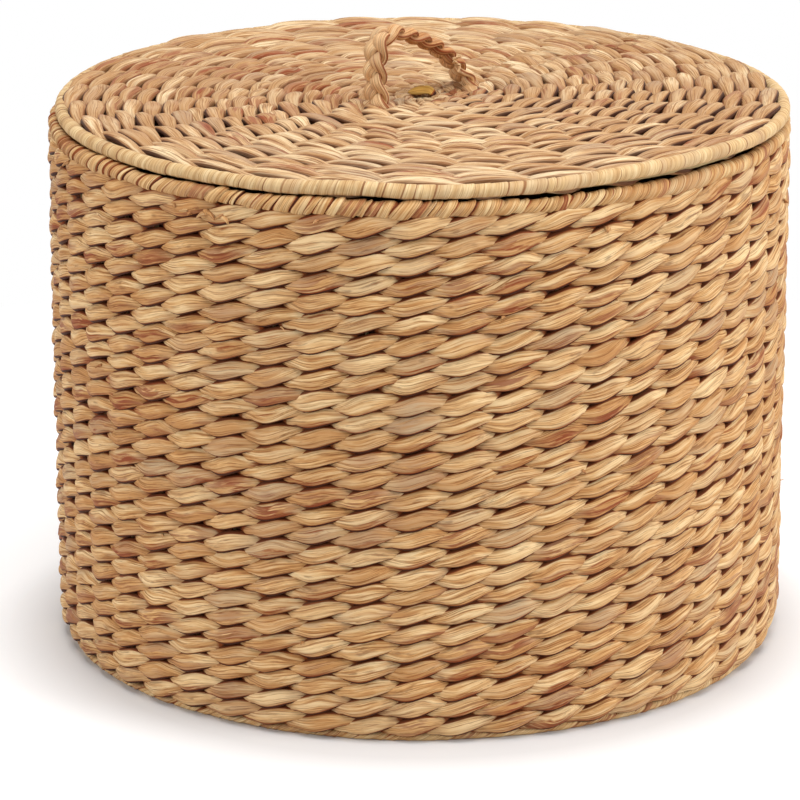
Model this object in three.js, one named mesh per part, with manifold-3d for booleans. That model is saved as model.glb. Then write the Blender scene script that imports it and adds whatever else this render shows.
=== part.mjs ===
// Round laundry basket twined from dried plant strands, with a loose flat lid and a plaited
// handle. Millimetres, +Z up. The origin is the centre of the underside, and the handle's
// span lies along X.
import * as THREE from 'three';
import { mergeVertices } from 'three/addons/utils/BufferGeometryUtils.js';
import Module from 'manifold-3d';

const wasm = await Module();
wasm.setup();

// Clearances
const seatGap = 0.3;
const cutOverrun = 2;
const hubSwell = 0.1;

// Wall: stakes stand in the middle of the wall, with one layer of twining on either side
const stakeCount = 50;
const stakeCircleRadius = 232.2;
const stakeRadius = 1.5;
const stickSides = 3;
const courseCount = 27;
const coursePitch = 12.3;
const outerLayerDepth = 1;
const wallLobeHeight = 4.1;
const innerLayerDepth = 4.7;
const cornerHeight = 24;
const cornerInset = 8;

// Foot, base and spokes
const footWidth = 8.6;
const footHeight = 4.9;
const footChamfer = 1.4;
const footOutset = 1.8;
const baseLowerDepth = 3.2;
const baseUpperDepth = 4;
const baseHubRadius = 26;
const baseHubSides = 24;
const spokeRadius = 1.3;
const stakesPerSpoke = 2;

// Rims: a core rod with a wrapped binding round it
const rimRodRadius = 3;
const rimRodOutset = 2.4;
const rimBindingWall = 1.95;
const rimMouthAngle = 110;
const rodSides = 4;
const lidRodRadius = 2.2;
const lidInset = 1.5;
const lidBindingWall = 2;
const lidMouthAngle = 120;
const bindingArcSteps = 6;
const bindingSkipSteps = 2;

// Lid: long spokes start at a hub, and short ones are pushed in between them from the edge
const lidLongSpokeCount = 16;
const lidColumns = 32;
const lidCourseCount = 19;
const lidWideCourses = 8;
const lidStartRadius = 8;
const hubReachShare = 0.85;
const lidLowerDepth = 2.7;
const lidUpperDepth = 1;
const lidLobeHeight = 3;
const lidShift = new THREE.Vector2(1.5, -1.6);
const startLeafLength = 24;
const startLeafWidth = 10;
const startLeafDepth = 2.4;
const startLeafSinkShare = 0.42;

// Handle: three strands plaited flat, both ends through the lid and held by a collar below
const strandRadius = 1.85;
const strandSides = 5;
const strandSteps = 50;
const plaitWidthReach = 4.6;
const plaitDepthReach = 3;
const plaitPeriod = 46;
const handleSpan = 84;
const handleRise = 54.3;
const handleHoleRadius = 6.8;
const handleHoleSides = 16;
const handleTailLength = 10;
const collarThickness = 5;
const collarHeight = 8;
const collarChamfer = 1.2;

// Heights that follow
const wallBottom = footHeight + seatGap;
const wallTop = wallBottom + courseCount * coursePitch;
const wallOuterFace = stakeRadius + seatGap;
const rimRodCircleRadius = stakeCircleRadius + rimRodOutset;
const lidRodCircleRadius = rimRodCircleRadius - lidInset;
const footOuterRadius = stakeCircleRadius + footOutset;
const rimBindingRadius = rimRodRadius + seatGap + rimBindingWall;
const rimCentre = wallTop + seatGap + rimBindingRadius * Math.cos(degrees(rimMouthAngle / 2));
const rimTop = rimCentre + rimBindingRadius;
const baseLowerBottom = footHeight - seatGap;
const spokeHeight = baseLowerBottom + baseLowerDepth + seatGap + hubSwell + stakeRadius;
const baseUpperBottom = spokeHeight + stakeRadius + hubSwell + seatGap;
const baseUpperTop = baseUpperBottom + baseUpperDepth;
const lidBindingRadius = lidRodRadius + seatGap + lidBindingWall;
const lidPlane = rimTop + seatGap;
const lidRodHeight = lidBindingRadius;
const lidUpperBottom = lidRodHeight + spokeRadius + hubSwell + seatGap;
const lidLowerTop = lidRodHeight - spokeRadius - hubSwell - seatGap;
const lidLowerBottom = lidLowerTop - lidLowerDepth;
const lidGroove = lidUpperBottom + lidUpperDepth;
const lidWeaveRadius = lidRodCircleRadius
  + lidBindingRadius * Math.cos(degrees(180 - lidMouthAngle / 2)) - seatGap;

const finishes = {
  strands: new THREE.MeshStandardMaterial({ color: '#c79f6c', roughness: 0.72 }),
  strandsInside: new THREE.MeshStandardMaterial({ color: '#b98f5f', roughness: 0.76 }),
  wrapping: new THREE.MeshStandardMaterial({ color: '#cda877', roughness: 0.66 }),
  sticks: new THREE.MeshStandardMaterial({ color: '#b8a274', roughness: 0.8 }),
  plait: new THREE.MeshStandardMaterial({ color: '#cfaa78', roughness: 0.7 }),
  startLeaf: new THREE.MeshStandardMaterial({ color: '#8d7f4c', roughness: 0.75 }),
};

function degrees(angle) {
  return (angle * Math.PI) / 180;
}

function polar(radius, angle, height) {
  return new THREE.Vector3(radius * Math.cos(angle), radius * Math.sin(angle), height);
}

// Solids for joining and cutting

function toSolid(geometry) {
  const bare = geometry.clone();
  bare.deleteAttribute('normal');
  bare.deleteAttribute('uv');
  const merged = mergeVertices(bare);
  const vertProperties = new Float32Array(merged.attributes.position.array);
  const triVerts = new Uint32Array(merged.index.array);
  return new wasm.Manifold(new wasm.Mesh({ numProp: 3, vertProperties, triVerts }));
}

function toGeometry(solid) {
  const mesh = solid.getMesh();
  const geometry = new THREE.BufferGeometry();
  geometry.setAttribute('position', new THREE.BufferAttribute(mesh.vertProperties, 3));
  geometry.setIndex(new THREE.BufferAttribute(mesh.triVerts, 1));
  return geometry;
}

function joined(geometries) {
  const solids = geometries.map(toSolid);
  const whole = solids.reduce((sum, solid) => sum.add(solid));
  return toGeometry(whole);
}

function withHoles(geometry, cutters) {
  const remaining = cutters.reduce((left, cutter) => left.subtract(toSolid(cutter)), toSolid(geometry));
  return toGeometry(remaining);
}

// A mesh built from rings of points. Twined weaving is rows of lobes, one to a stick, and each
// lobe leans by its own width to the next course.
class FacetList {
  constructor() {
    this.positions = [];
    this.faces = [];
  }

  point(vector) {
    this.positions.push(vector.x, vector.y, vector.z);
    return this.positions.length / 3 - 1;
  }

  ring(count, place) {
    return Array.from({ length: count }, (_, column) => this.point(place((2 * Math.PI * column) / count)));
  }

  band(lower, upper) {
    const count = lower.length;
    for (let column = 0; column < count; column += 1) {
      const next = (column + 1) % count;
      this.faces.push(lower[column], lower[next], upper[next]);
      this.faces.push(lower[column], upper[next], upper[column]);
    }
  }

  fan(outline, centre) {
    outline.forEach((corner, index) => {
      this.faces.push(corner, outline[(index + 1) % outline.length], centre);
    });
  }

  lobes(lower, upper, span, peak) {
    const count = lower.length;
    const columns = Array.from({ length: span + 1 }, (_, step) => step);
    for (let start = 0; start < count; start += span) {
      const near = columns.map((step) => lower[(start + step) % count]);
      const far = columns.map((step) => upper[(start + span + step) % count]).reverse();
      const middle = (2 * Math.PI * (start + span)) / count;
      this.fan([...near, ...far], this.point(peak(middle)));
    }
  }

  geometry(facesFlipped) {
    const order = facesFlipped ? [0, 2, 1] : [0, 1, 2];
    const index = this.faces.map((_, place) => this.faces[place - (place % 3) + order[place % 3]]);
    const geometry = new THREE.BufferGeometry();
    geometry.setAttribute('position', new THREE.Float32BufferAttribute(this.positions, 3));
    geometry.setIndex(index);
    return geometry;
  }
}

// Shapes that repeat

// A closed profile of radius and height pairs, counter-clockwise, turned about Z.
function revolved(profile, segments) {
  const closed = [...profile, profile[0]];
  const points = closed.map(([radius, height]) => new THREE.Vector2(radius, height));
  const geometry = new THREE.LatheGeometry(points, segments);
  geometry.rotateX(Math.PI / 2);
  return geometry;
}

function disc(radius, bottom, top, segments) {
  const geometry = new THREE.CylinderGeometry(radius, radius, top - bottom, segments);
  geometry.rotateX(Math.PI / 2);
  geometry.translate(0, 0, (bottom + top) / 2);
  return geometry;
}

// A thin stick swept through stops that lie in the upright plane at one angle.
function stick(stops, angle, radius) {
  const facets = new FacetList();
  const aside = polar(1, angle + Math.PI / 2, 0);
  const sections = stops.map((stop, index) => {
    const before = stops[Math.max(index - 1, 0)];
    const after = stops[Math.min(index + 1, stops.length - 1)];
    const arriving = new THREE.Vector3().subVectors(stop, before).normalize();
    const leaving = new THREE.Vector3().subVectors(after, stop).normalize();
    const along = arriving.add(leaving).normalize();
    const outward = new THREE.Vector3().crossVectors(aside, along);
    return Array.from({ length: stickSides }, (_, side) => {
      const turn = (-2 * Math.PI * side) / stickSides;
      const corner = stop.clone().addScaledVector(aside, radius * Math.sin(turn));
      return facets.point(corner.addScaledVector(outward, radius * Math.cos(turn)));
    });
  });
  for (let index = 1; index < sections.length; index += 1) {
    facets.band(sections[index - 1], sections[index]);
  }
  const [first, last] = [sections[0], sections[sections.length - 1]];
  facets.faces.push(...[...first].reverse(), ...last);
  return facets.geometry(true);
}

function hoop(circleRadius, rodRadius, height, sides, segments) {
  const profile = [];
  for (let side = 0; side < sides; side += 1) {
    const angle = (2 * Math.PI * side) / sides;
    profile.push([circleRadius + rodRadius * Math.cos(angle), height + rodRadius * Math.sin(angle)]);
  }
  return revolved(profile, segments);
}

// A wrapped binding: a round shell that stays open over the mouth angle, about the mouth's
// direction, so that the sticks can enter it.
function wrappedBinding(circleRadius, height, outerRadius, wall, mouthDirection, mouthAngle, segments) {
  const first = degrees(mouthDirection + mouthAngle / 2);
  const sweep = degrees(360 - mouthAngle);
  const profile = [];
  for (let step = 0; step <= bindingArcSteps; step += 1) {
    const angle = first + (sweep * step) / bindingArcSteps;
    profile.push([circleRadius + outerRadius * Math.cos(angle), height + outerRadius * Math.sin(angle)]);
  }
  const innerRadius = (outerRadius - wall) / Math.cos(sweep / bindingArcSteps);
  for (let step = bindingArcSteps; step >= 0; step -= bindingSkipSteps) {
    const angle = first + (sweep * step) / bindingArcSteps;
    profile.push([circleRadius + innerRadius * Math.cos(angle), height + innerRadius * Math.sin(angle)]);
  }
  return revolved(profile, segments);
}

// The stakes' distance from the axis: straight, and drawn in round the bottom corner.
function stakeReach(height) {
  const drop = Math.max(0, cornerHeight - height) / cornerHeight;
  return stakeCircleRadius - cornerInset * (1 - Math.sqrt(1 - drop * drop));
}

function courseHeight(course) {
  return wallBottom + course * coursePitch;
}

// The first course ends at the corner's top, and the sticks leave the base's spokes below it.
const cornerTop = courseHeight(1);
const cornerRise = (spokeHeight - wallBottom) / coursePitch;
const footReach = THREE.MathUtils.lerp(stakeReach(wallBottom), stakeReach(cornerTop), cornerRise);

function outerWeaveGeometry() {
  const facets = new FacetList();
  const inner = [];
  const groove = [];
  for (let course = 0; course <= courseCount; course += 1) {
    const height = courseHeight(course);
    const face = stakeReach(height) + wallOuterFace;
    groove.push(facets.ring(stakeCount, (angle) => polar(face + outerLayerDepth, angle, height)));
    if (course <= 1 || course === courseCount) {
      inner.push(facets.ring(stakeCount, (angle) => polar(face, angle, height)));
    }
  }
  for (let course = 0; course < courseCount; course += 1) {
    const height = courseHeight(course + 1 / 2);
    const reach = stakeReach(height) + wallOuterFace + outerLayerDepth + wallLobeHeight;
    facets.lobes(groove[course], groove[course + 1], 1, (angle) => polar(reach, angle, height));
  }
  facets.band(groove[courseCount], inner[inner.length - 1]);
  for (let level = inner.length - 1; level > 0; level -= 1) {
    facets.band(inner[level], inner[level - 1]);
  }
  facets.band(inner[0], groove[0]);
  return facets.geometry(false);
}

function innerWeaveGeometry() {
  const bottom = baseUpperTop + seatGap;
  const toFace = stakeRadius + seatGap;
  const profile = [
    [footReach - toFace - innerLayerDepth, bottom], [footReach - toFace, bottom],
    [stakeReach(cornerTop) - toFace, cornerTop], [stakeCircleRadius - toFace, wallTop],
    [stakeCircleRadius - toFace - innerLayerDepth, wallTop],
  ];
  return revolved(profile, stakeCount);
}

// The wall's sticks, the base's spokes and the rim's core rod, lashed into one cage.
function bodyFrameGeometry() {
  const parts = [hoop(rimRodCircleRadius, rimRodRadius, rimCentre, rodSides, stakeCount)];
  for (let stake = 0; stake < stakeCount; stake += 1) {
    const angle = (2 * Math.PI * stake) / stakeCount;
    const stops = [
      polar(footReach, angle, spokeHeight),
      polar(stakeReach(cornerTop), angle, cornerTop),
      polar(stakeCircleRadius, angle, wallTop + seatGap),
      polar(rimRodCircleRadius, angle, rimCentre),
    ];
    if (stake % stakesPerSpoke === 0) {
      stops.unshift(polar(baseHubRadius / 2, angle, spokeHeight));
    }
    parts.push(stick(stops, angle, stakeRadius));
  }
  const hubHalf = stakeRadius + hubSwell;
  parts.push(disc(baseHubRadius, spokeHeight - hubHalf, spokeHeight + hubHalf, baseHubSides));
  return joined(parts);
}

function footBindingGeometry() {
  const inner = footOuterRadius - footWidth;
  const profile = [
    [inner + footChamfer, 0], [footOuterRadius - footChamfer, 0], [footOuterRadius, footChamfer],
    [footOuterRadius, footHeight - footChamfer], [footOuterRadius - footChamfer, footHeight],
    [inner, footHeight], [inner, footChamfer],
  ];
  return revolved(profile, stakeCount);
}

// Lid

function lidRadiusAt(course) {
  return lidStartRadius + ((lidWeaveRadius - lidStartRadius) * course) / lidCourseCount;
}

function lidUpperWeaveGeometry() {
  const facets = new FacetList();
  const rings = [];
  for (let course = 0; course <= lidCourseCount; course += 1) {
    rings.push(facets.ring(lidColumns, (angle) => polar(lidRadiusAt(course), angle, lidGroove)));
  }
  for (let course = 0; course < lidCourseCount; course += 1) {
    const span = course < lidWideCourses ? 2 : 1;
    const radius = lidRadiusAt(course + 1 / 2);
    const peak = lidGroove + lidLobeHeight;
    facets.lobes(rings[course], rings[course + 1], span, (angle) => polar(radius, angle, peak));
  }
  const edge = facets.ring(lidColumns, (angle) => polar(lidWeaveRadius, angle, lidUpperBottom));
  facets.band(rings[lidCourseCount], edge);
  facets.fan(edge, facets.point(new THREE.Vector3(0, 0, lidUpperBottom)));
  facets.fan([...rings[0]].reverse(), facets.point(new THREE.Vector3(0, 0, lidGroove)));
  return facets.geometry(true);
}

function handleHoleCutters(bottom, top) {
  return [-1, 1].map((side) => {
    const cutter = disc(handleHoleRadius, bottom - cutOverrun, top + cutOverrun, handleHoleSides);
    cutter.translate((side * handleSpan) / 2, 0, 0);
    return cutter;
  });
}

function lidFrameGeometry() {
  const parts = [hoop(lidRodCircleRadius, lidRodRadius, lidRodHeight, rodSides, stakeCount)];
  const step = (2 * Math.PI) / lidLongSpokeCount;
  for (let spoke = 0; spoke < lidLongSpokeCount; spoke += 1) {
    const longAngle = (spoke + 1 / 2) * step;
    const longStart = polar(lidStartRadius * hubReachShare, longAngle, lidRodHeight);
    parts.push(stick([longStart, polar(lidRodCircleRadius, longAngle, lidRodHeight)], longAngle, spokeRadius));
    const shortAngle = spoke * step;
    const shortStart = polar(lidRadiusAt(lidWideCourses), shortAngle, lidRodHeight);
    parts.push(stick([shortStart, polar(lidRodCircleRadius, shortAngle, lidRodHeight)], shortAngle, spokeRadius));
  }
  const hubHalf = spokeRadius + hubSwell;
  parts.push(disc(lidStartRadius, lidRodHeight - hubHalf, lidRodHeight + hubHalf, lidLongSpokeCount));
  return joined(parts);
}

// A pointed leaf, thick along its middle, where the first strand of the lid is tucked in.
function startLeafGeometry() {
  const outline = new THREE.Shape();
  const half = startLeafLength / 2;
  outline.moveTo(-half, 0);
  outline.quadraticCurveTo(0, -startLeafWidth, half, 0);
  outline.quadraticCurveTo(0, startLeafWidth, -half, 0);
  const bevel = startLeafDepth / 3;
  const geometry = new THREE.ExtrudeGeometry(outline, {
    depth: startLeafDepth - 2 * bevel,
    bevelThickness: bevel,
    bevelSize: bevel,
    bevelOffset: -bevel,
    bevelSegments: 1,
    curveSegments: 5,
  });
  geometry.translate(0, 0, bevel);
  return geometry;
}

// Handle

// The arch in the XZ plane: the front leg stands, turns a tight corner at the top, and the
// back of the arch slopes down to the other root.
const archSpanShares = [-0.5, -0.503, -0.517, -0.515, -0.488, -0.393, -0.274, 0.095, 0.321, 0.452, 0.497, 0.5];
const archRiseShares = [0, 0.166, 0.479, 0.755, 0.93, 1, 0.994, 0.755, 0.497, 0.27, 0.11, 0];

function archCurve() {
  const points = archSpanShares.map((share, index) => (
    new THREE.Vector3(share * handleSpan, 0, archRiseShares[index] * handleRise)
  ));
  const tails = [points[0], points[points.length - 1]].map((root) => (
    new THREE.Vector3(root.x, 0, -handleTailLength)
  ));
  return new THREE.CatmullRomCurve3([tails[0], ...points, tails[1]]);
}

function plaitStrandGeometry(strand, strandCount) {
  const arch = archCurve();
  const length = arch.getLength();
  const across = new THREE.Vector3(0, 1, 0);
  const points = [];
  for (let step = 0; step <= 2 * strandSteps; step += 1) {
    const share = step / (2 * strandSteps);
    const phase = 2 * Math.PI * ((share * length) / plaitPeriod + strand / strandCount);
    const outward = new THREE.Vector3().crossVectors(across, arch.getTangentAt(share));
    const point = arch.getPointAt(share);
    point.addScaledVector(across, plaitWidthReach * Math.sin(phase));
    point.addScaledVector(outward, plaitDepthReach * Math.sin(2 * phase));
    points.push(point);
  }
  const section = new THREE.Shape();
  for (let side = 0; side < strandSides; side += 1) {
    const angle = (2 * Math.PI * side) / strandSides;
    const method = side === 0 ? 'moveTo' : 'lineTo';
    section[method](strandRadius * Math.cos(angle), strandRadius * Math.sin(angle));
  }
  const path = new THREE.CatmullRomCurve3(points);
  return new THREE.ExtrudeGeometry(section, { steps: strandSteps, extrudePath: path, bevelEnabled: false });
}

function collarGeometry() {
  const inner = handleHoleRadius;
  const outer = inner + collarThickness;
  const top = lidLowerBottom - seatGap;
  const bottom = top - collarHeight;
  const profile = [
    [inner, bottom], [outer - collarChamfer, bottom], [outer, bottom + collarChamfer],
    [outer, top - collarChamfer], [outer - collarChamfer, top], [inner, top],
  ];
  return revolved(profile, handleHoleSides);
}

// Assembly

function piece(name, geometry, material) {
  const mesh = new THREE.Mesh(geometry, material);
  mesh.name = name;
  return mesh;
}

function basketBody() {
  const body = new THREE.Group();
  const rim = wrappedBinding(
    rimRodCircleRadius, rimCentre, rimBindingRadius, rimBindingWall, -90, rimMouthAngle, stakeCount,
  );
  const lowerRadius = footOuterRadius - footWidth - seatGap;
  const upperRadius = footReach - stakeRadius - seatGap;
  body.add(piece('body_frame', bodyFrameGeometry(), finishes.sticks));
  body.add(piece('wall_outer_weave', outerWeaveGeometry(), finishes.strands));
  body.add(piece('wall_inner_weave', innerWeaveGeometry(), finishes.strandsInside));
  body.add(piece('rim_binding', rim, finishes.wrapping));
  body.add(piece('foot_binding', footBindingGeometry(), finishes.wrapping));
  const lower = disc(lowerRadius, baseLowerBottom, baseLowerBottom + baseLowerDepth, stakeCount);
  const upper = disc(upperRadius, baseUpperBottom, baseUpperTop, stakeCount);
  body.add(piece('base_lower_weave', lower, finishes.strandsInside));
  body.add(piece('base_upper_weave', upper, finishes.strandsInside));
  return body;
}

function basketLid() {
  const lid = new THREE.Group();
  lid.position.set(lidShift.x, lidShift.y, lidPlane);
  const upper = withHoles(lidUpperWeaveGeometry(), handleHoleCutters(lidUpperBottom, lidGroove + lidLobeHeight));
  const lowerDisc = disc(lidWeaveRadius, lidLowerBottom, lidLowerTop, stakeCount);
  const lower = withHoles(lowerDisc, handleHoleCutters(lidLowerBottom, lidLowerTop));
  const binding = wrappedBinding(
    lidRodCircleRadius, lidRodHeight, lidBindingRadius, lidBindingWall, 180, lidMouthAngle, stakeCount,
  );
  lid.add(piece('lid_frame', lidFrameGeometry(), finishes.sticks));
  lid.add(piece('lid_upper_weave', upper, finishes.strands));
  lid.add(piece('lid_lower_weave', lower, finishes.strandsInside));
  lid.add(piece('lid_binding', binding, finishes.wrapping));
  const leaf = piece('lid_centre_start', startLeafGeometry(), finishes.startLeaf);
  leaf.position.z = lidGroove + lidLobeHeight * (1 - startLeafSinkShare) + seatGap;
  lid.add(leaf);
  const strandNames = ['handle_strand_a', 'handle_strand_b', 'handle_strand_c'];
  strandNames.forEach((name, strand) => {
    lid.add(piece(name, plaitStrandGeometry(strand, strandNames.length), finishes.plait));
  });
  [['handle_collar_front', -1], ['handle_collar_back', 1]].forEach(([name, side]) => {
    const collar = piece(name, collarGeometry(), finishes.wrapping);
    collar.position.x = (side * handleSpan) / 2;
    lid.add(collar);
  });
  return lid;
}

const basket = new THREE.Group();
basket.add(basketBody());
basket.add(basketLid());

export default basket;
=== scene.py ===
"""Round laundry basket twined from dried water-weed strands, with a loose lid and plaited handle.

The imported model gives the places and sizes. Every strand is a closed tube worked out with
numpy: two strands to a course, passing outside and inside the sticks in turn and twisting round
each other between them.
"""
import logging
import math
from dataclasses import dataclass, replace
from enum import Enum

import bpy
import numpy as np
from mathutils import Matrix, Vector

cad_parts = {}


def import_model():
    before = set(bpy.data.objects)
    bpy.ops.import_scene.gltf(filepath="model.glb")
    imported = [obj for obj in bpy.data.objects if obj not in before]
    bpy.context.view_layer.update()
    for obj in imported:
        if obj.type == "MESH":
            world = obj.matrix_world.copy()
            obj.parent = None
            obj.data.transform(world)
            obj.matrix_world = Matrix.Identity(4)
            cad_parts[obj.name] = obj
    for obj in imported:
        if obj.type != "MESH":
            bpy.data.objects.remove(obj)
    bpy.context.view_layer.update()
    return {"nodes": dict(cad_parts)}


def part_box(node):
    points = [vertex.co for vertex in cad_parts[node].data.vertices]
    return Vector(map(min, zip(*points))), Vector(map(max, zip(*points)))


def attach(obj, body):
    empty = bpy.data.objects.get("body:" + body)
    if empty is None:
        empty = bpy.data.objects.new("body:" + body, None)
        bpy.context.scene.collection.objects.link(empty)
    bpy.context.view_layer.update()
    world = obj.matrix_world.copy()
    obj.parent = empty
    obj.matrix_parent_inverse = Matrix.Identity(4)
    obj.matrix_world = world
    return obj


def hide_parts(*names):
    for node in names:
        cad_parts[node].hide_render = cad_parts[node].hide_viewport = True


LOG = logging.getLogger("basket")
MM = 0.001
TAU = 2 * math.pi
Tree = bpy.types.NodeTree
Socket = bpy.types.NodeSocket
Material = bpy.types.Material
Pair = tuple[float, float]


# Sizes and counts that drive the rest

VIEW_AZIMUTH = math.radians(-46)
FRONT = math.radians(224)
AXIS = (0.0, 0.0)
WALL_STICKS = 50
WALL_COURSES = 27
WALL_CIRCLE = 232.2 * MM
LID_STICKS = 32
LID_COURSES = 19
LID_RADIUS = 230.6 * MM
BASE_COURSES = 18
BASE_RADIUS = 225 * MM
WEAVE_START = 8 * MM
RIM_HALF_WIDTH = 5.25 * MM
FOOT_HALF_WIDTH = 4.3 * MM
HANDLE_SPAN = 84 * MM
HANDLE_RISE = 54.3 * MM
HANDLE_TAIL = 10 * MM

# How far along the grain, in metres, a strand may start, so that no two look alike
GRAIN_SHIFT = 9.0
# How many spreads a bounded draw may lie off its middle
SPREAD_BOUND = 1.5

# The sRGB curve: a straight toe, then a power
BYTE_TOP = 255
TOE_END = 0.04045
TOE_SLOPE = 12.92
CURVE_OFFSET = 0.055
CURVE_POWER = 2.4

# The sockets of a Mix node that is set to colours
MIX_SHARE = 0
MIX_UNDER = 6
MIX_OVER = 7
MIX_COLOUR = 2


class Body(Enum):
    """The two bodies that pieces ride on."""

    BASKET = "basket"
    LID = "lid"


def linear(hex_colour: str) -> tuple[float, float, float, float]:
    """Turn an sRGB hex colour into linear values.

    Args:
        hex_colour: six hex digits after a hash sign.

    Returns:
        Red, green and blue as linear light, and an alpha of one.
    """
    shares = [int(hex_colour[start : start + 2], 16) / BYTE_TOP for start in (1, 3, 5)]
    curve = [((share + CURVE_OFFSET) / (1 + CURVE_OFFSET)) ** CURVE_POWER for share in shares]
    toe = [share / TOE_SLOPE for share in shares]
    levels = [toe[n] if shares[n] <= TOE_END else curve[n] for n in range(3)]
    return (*levels, 1.0)


def smooth_share(share: np.ndarray) -> np.ndarray:
    """Ease a share between nought and one: three squares less two cubes."""
    held = np.clip(share, 0.0, 1.0)
    return held * held * (3 - 2 * held)


def bell(offset: np.ndarray) -> np.ndarray:
    """Give a bell curve of an offset: one in the middle, exp(-1) one unit away."""
    return np.exp(-(offset**2))


def stacked(*values: np.ndarray) -> np.ndarray:
    """Spread values to one shape and put them side by side on a new last axis."""
    return np.stack(np.broadcast_arrays(*values), axis=-1)


def round_points(angle: np.ndarray, radius: np.ndarray, level: np.ndarray, centre: Pair = AXIS) -> np.ndarray:
    """Turn angles, radii and heights about an upright axis into points.

    Args:
        angle: the angles round the axis.
        radius: the distances from it.
        level: the heights.
        centre: where the axis stands.

    Returns:
        The points, spread to one shape.
    """
    return stacked(centre[0] + radius * np.cos(angle), centre[1] + radius * np.sin(angle), level)


# Surfaces


@dataclass
class Surface:
    """A grid of points round a strand, with the values that its finish reads.

    The first direction runs along the strand and the second round it. grain holds the
    distance along the strand and the two distances across it, tint holds lightness, redness
    and greyness, and depth, which the finish turns into painted shade, is one in the
    crevices. All are spread over the whole grid.
    """

    points: np.ndarray
    grain: np.ndarray
    tint: np.ndarray
    depth: np.ndarray
    looped: bool = True

    def __post_init__(self) -> None:
        """Spread every value over the grid of points."""
        grid = self.points.shape[:2]
        self.grain = np.broadcast_to(self.grain, (*grid, 3))
        self.tint = np.broadcast_to(self.tint, (*grid, 3))
        self.depth = np.broadcast_to(self.depth, grid)

    def flipped(self) -> "Surface":
        """Run round the strand the other way, which turns its faces over."""
        grids = [values[:, ::-1] for values in (self.points, self.grain, self.tint, self.depth)]
        return Surface(*grids, self.looped)


def grid_faces(rows: int, columns: int, looped: bool) -> tuple[np.ndarray, np.ndarray]:
    """List the faces of a tube of points.

    A quad joins each point to the next one round the strand and to the same two in the next
    row. An open tube ends in a fan of triangles round one more point at either end.

    Args:
        rows: the number of rings along the strand.
        columns: the number of points in a ring.
        looped: whether the last ring joins the first.

    Returns:
        The quads, and the triangles of the ends (none where the tube is looped).
    """
    ring = np.arange(columns)
    after = (ring + 1) % columns
    row = columns * np.arange(rows if looped else rows - 1)[:, None]
    next_row = (row + columns) % (rows * columns)
    quads = stacked(row + ring, row + after, next_row + after, next_row + ring).reshape(-1, 4)
    if looped:
        return quads, np.zeros((0, 3), dtype=int)
    last = (rows - 1) * columns
    pole = rows * columns
    start = stacked(after, ring, pole)
    end = stacked(last + ring, last + after, pole + 1)
    return quads, np.concatenate([start, end])


def with_poles(values: np.ndarray, looped: bool) -> np.ndarray:
    """Flatten a grid of values, with one more at either end of an open tube.

    Args:
        values: one value, or one row of values, for each point of the grid.
        looped: whether the tube is closed and so has no ends.

    Returns:
        One row for each point, then the means of the first and last rings if it is open.
    """
    flat = values.reshape(values.shape[0] * values.shape[1], -1)
    if looped:
        return flat
    ends = [ring.mean(axis=1).reshape(1, -1) for ring in (values[:1], values[-1:])]
    return np.concatenate([flat, *ends])


def make_piece(name: str, surfaces: list[Surface], material: Material) -> bpy.types.Object:
    """Join surfaces into one smooth mesh object with its finish.

    Args:
        name: the piece's name.
        surfaces: the tubes that make it up.
        material: the finish of the whole piece.

    Returns:
        The new object, linked to the scene and lying at the origin.
    """
    quads = []
    triangles = []
    start = 0
    for surface in surfaces:
        rows, columns = surface.depth.shape
        four, three = grid_faces(rows, columns, surface.looped)
        quads.append(four + start)
        triangles.append(three + start)
        start += rows * columns + (0 if surface.looped else 2)
    fours = np.concatenate(quads)
    threes = np.concatenate(triangles)
    corners = np.concatenate([fours.ravel(), threes.ravel()])
    sizes = np.concatenate([np.full(len(fours), 4), np.full(len(threes), 3)])
    values = {
        label: np.concatenate([with_poles(getattr(surface, label), surface.looped) for surface in surfaces])
        for label in ("points", "grain", "tint", "depth")
    }
    mesh = bpy.data.meshes.new(name)
    mesh.vertices.add(len(values["points"]))
    mesh.vertices.foreach_set("co", values["points"].astype(np.float32).ravel())
    mesh.loops.add(len(corners))
    mesh.loops.foreach_set("vertex_index", corners.astype(np.int32))
    mesh.polygons.add(len(sizes))
    mesh.polygons.foreach_set("loop_start", (np.cumsum(sizes) - sizes).astype(np.int32))
    mesh.polygons.foreach_set("use_smooth", np.ones(len(sizes), dtype=bool))
    vector = ("FLOAT_VECTOR", "vector")
    for label, (kind, item) in {"grain": vector, "tint": vector, "depth": ("FLOAT", "value")}.items():
        layer = mesh.attributes.new(f"strand_{label}", kind, "POINT")
        layer.data.foreach_set(item, values[label].astype(np.float32).ravel())
    mesh.update(calc_edges=True)
    mesh.validate()
    mesh.materials.append(material)
    piece = bpy.data.objects.new(name, mesh)
    bpy.context.scene.collection.objects.link(piece)
    return piece


def seat(piece: bpy.types.Object, body: Body, slot: str, *nodes: str) -> None:
    """Let a piece ride on its body and stand for CAD nodes.

    Args:
        piece: the finished piece.
        body: the body that carries it.
        slot: the name of a material slot; not used.
        nodes: the CAD nodes that the piece replaces.
    """
    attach(piece, body.value)
    if nodes:
        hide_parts(*nodes)
    LOG.info("%s: %d faces on %s", piece.name, len(piece.data.polygons), body.value)


# Finishes


def blank_tree(owner: bpy.types.ID) -> Tree:
    """Give a material or a world an empty node tree.

    Args:
        owner: the material or world.

    Returns:
        The empty tree.
    """
    owner.use_nodes = True
    owner.node_tree.nodes.clear()
    return owner.node_tree


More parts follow.
